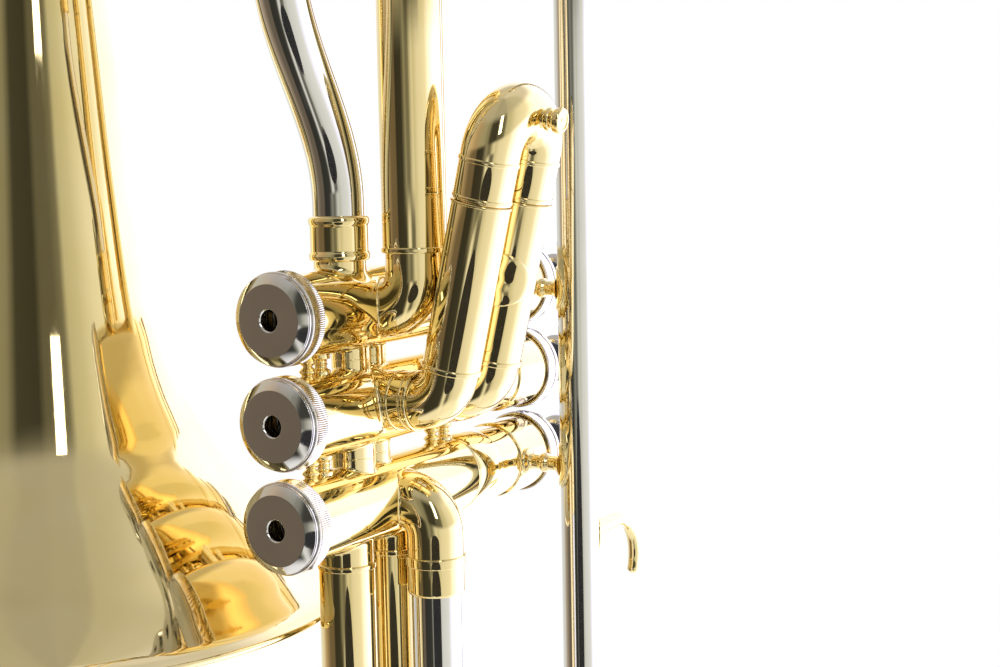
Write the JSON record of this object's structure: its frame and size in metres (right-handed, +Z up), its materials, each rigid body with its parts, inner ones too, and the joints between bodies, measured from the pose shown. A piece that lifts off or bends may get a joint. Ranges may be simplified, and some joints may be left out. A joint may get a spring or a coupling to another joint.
{
  "type": "valve trombone",
  "caption": "Piston valve trombone in the trumpet family: flared bell, valve block with sprung pistons, tuning slides, mouthpipe, front bow and water key.",
  "frame": {"origin": "centre of the whole object's box", "axes": "+Z up towards the mouthpiece end, along the long tubes, with the bell's mouth facing -Z; +X along the valves towards the finger buttons; +Y from the valve block towards the bell"},
  "size_m": [0.2672, 0.2814, 1.118],
  "materials": {
    "lacquered_brass": "polished, clear lacquer",
    "nickel_silver": "polished nickel silver, clear lacquer",
    "nickel_caps": "polished nickel plate",
    "silver_plate": "polished silver plate",
    "piston_plate": "fine lapped",
    "spring_wire": "drawn wire",
    "felt": "pressed wool felt",
    "button_inlay": "polished",
    "cork": "cut cork"
  },
  "bodies": {
    "body": {"bell": "lacquered_brass", "bell_stay": "lacquered_brass", "bottom_cap_1": "nickel_caps", "bottom_cap_2": "nickel_caps", "bottom_cap_3": "nickel_caps", "casing_post_12": "lacquered_brass", "casing_post_23": "lacquered_brass", "finger_hook": "lacquered_brass", "first_slide_elbow": "lacquered_brass", "first_slide_sleeve_back": "lacquered_brass", "first_slide_sleeve_front": "lacquered_brass", "front_bow": "lacquered_brass", "knuckle_12": "lacquered_brass", "knuckle_23": "lacquered_brass", "mouthpiece_receiver": "lacquered_brass", "mouthpipe": "nickel_silver", "mouthpipe_post_1": "lacquered_brass", "mouthpipe_post_3": "lacquered_brass", "neck_port": "lacquered_brass", "neck_stay": "lacquered_brass", "neckpipe": "lacquered_brass", "pipe_stay": "lacquered_brass", "return_elbow": "lacquered_brass", "return_tube": "nickel_silver", "s_bend": "nickel_silver", "second_slide_elbow_back": "lacquered_brass", "second_slide_elbow_front": "lacquered_brass", "second_slide_sleeve_back": "lacquered_brass", "second_slide_sleeve_front": "lacquered_brass", "third_slide_sleeve_back": "lacquered_brass", "third_slide_sleeve_front": "lacquered_brass", "top_cap_1": "nickel_caps", "top_cap_2": "nickel_caps", "top_cap_3": "nickel_caps", "valve_casing_1": "lacquered_brass", "valve_casing_2": "lacquered_brass", "valve_casing_3": "lacquered_brass", "valve_spring_1": "spring_wire", "valve_spring_2": "spring_wire", "valve_spring_3": "spring_wire", "water_key_fork": "lacquered_brass", "water_key_nipple": "lacquered_brass"},
    "valve_1": {"piston_1": "piston_plate", "button_felt_1": "felt", "finger_button_1": "button_inlay"},
    "valve_2": {"piston_2": "piston_plate", "button_felt_2": "felt", "finger_button_2": "button_inlay"},
    "valve_3": {"piston_3": "piston_plate", "button_felt_3": "felt", "finger_button_3": "button_inlay"},
    "first_slide": {"first_slide_bow": "lacquered_brass"},
    "second_slide": {"second_slide_bow": "lacquered_brass", "second_slide_knob": "lacquered_brass"},
    "third_slide": {"third_slide_bow": "lacquered_brass"},
    "tuning_slide": {"tuning_slide_bow": "lacquered_brass", "tuning_slide_stay": "lacquered_brass"},
    "mouthpiece": {"mouthpiece": "silver_plate"},
    "water_key": {"water_key_lever": "lacquered_brass", "water_key_cork": "cork"}
  },
  "joints": [
    {"name": "valve_1_press", "type": "slide", "parent": "body", "child": "valve_1", "axis": [-1, 0, 0], "range_m": [0, 0.0165], "stiffness_N_per_m": 180, "springref_m": -0.011, "deforming": ["valve_spring_1"]},
    {"name": "valve_2_press", "type": "slide", "parent": "body", "child": "valve_2", "axis": [-1, 0, 0], "range_m": [0, 0.0165], "stiffness_N_per_m": 180, "springref_m": -0.011, "deforming": ["valve_spring_2"]},
    {"name": "valve_3_press", "type": "slide", "parent": "body", "child": "valve_3", "axis": [-1, 0, 0], "range_m": [0, 0.0165], "stiffness_N_per_m": 180, "springref_m": -0.011, "deforming": ["valve_spring_3"]},
    {"name": "first_slide_pull", "type": "slide", "parent": "body", "child": "first_slide", "axis": [0, 0, 1], "range_m": [0, 0.045]},
    {"name": "second_slide_pull", "type": "slide", "parent": "body", "child": "second_slide", "axis": [0, -0.2317, 0.9728], "range_m": [0, 0.028]},
    {"name": "third_slide_pull", "type": "slide", "parent": "body", "child": "third_slide", "axis": [0, 0, -1], "range_m": [0, 0.055], "stiffness_N_per_m": 40, "springref_m": -0.035},
    {"name": "tuning_slide_pull", "type": "slide", "parent": "body", "child": "tuning_slide", "axis": [0, 0, 1], "range_m": [0, 0.06]},
    {"name": "mouthpiece_out", "type": "slide", "parent": "body", "child": "mouthpiece", "axis": [0, 0, 1], "range_m": [0, 0.03]},
    {"name": "water_key_open", "type": "hinge", "parent": "body", "child": "water_key", "pos_m": [0.05683, -0.11821, -0.55147], "axis": [0, 0, 1], "range_deg": [0, 14], "stiffness_Nm_per_rad": 0.06, "springref_deg": -28.65}
  ]
}
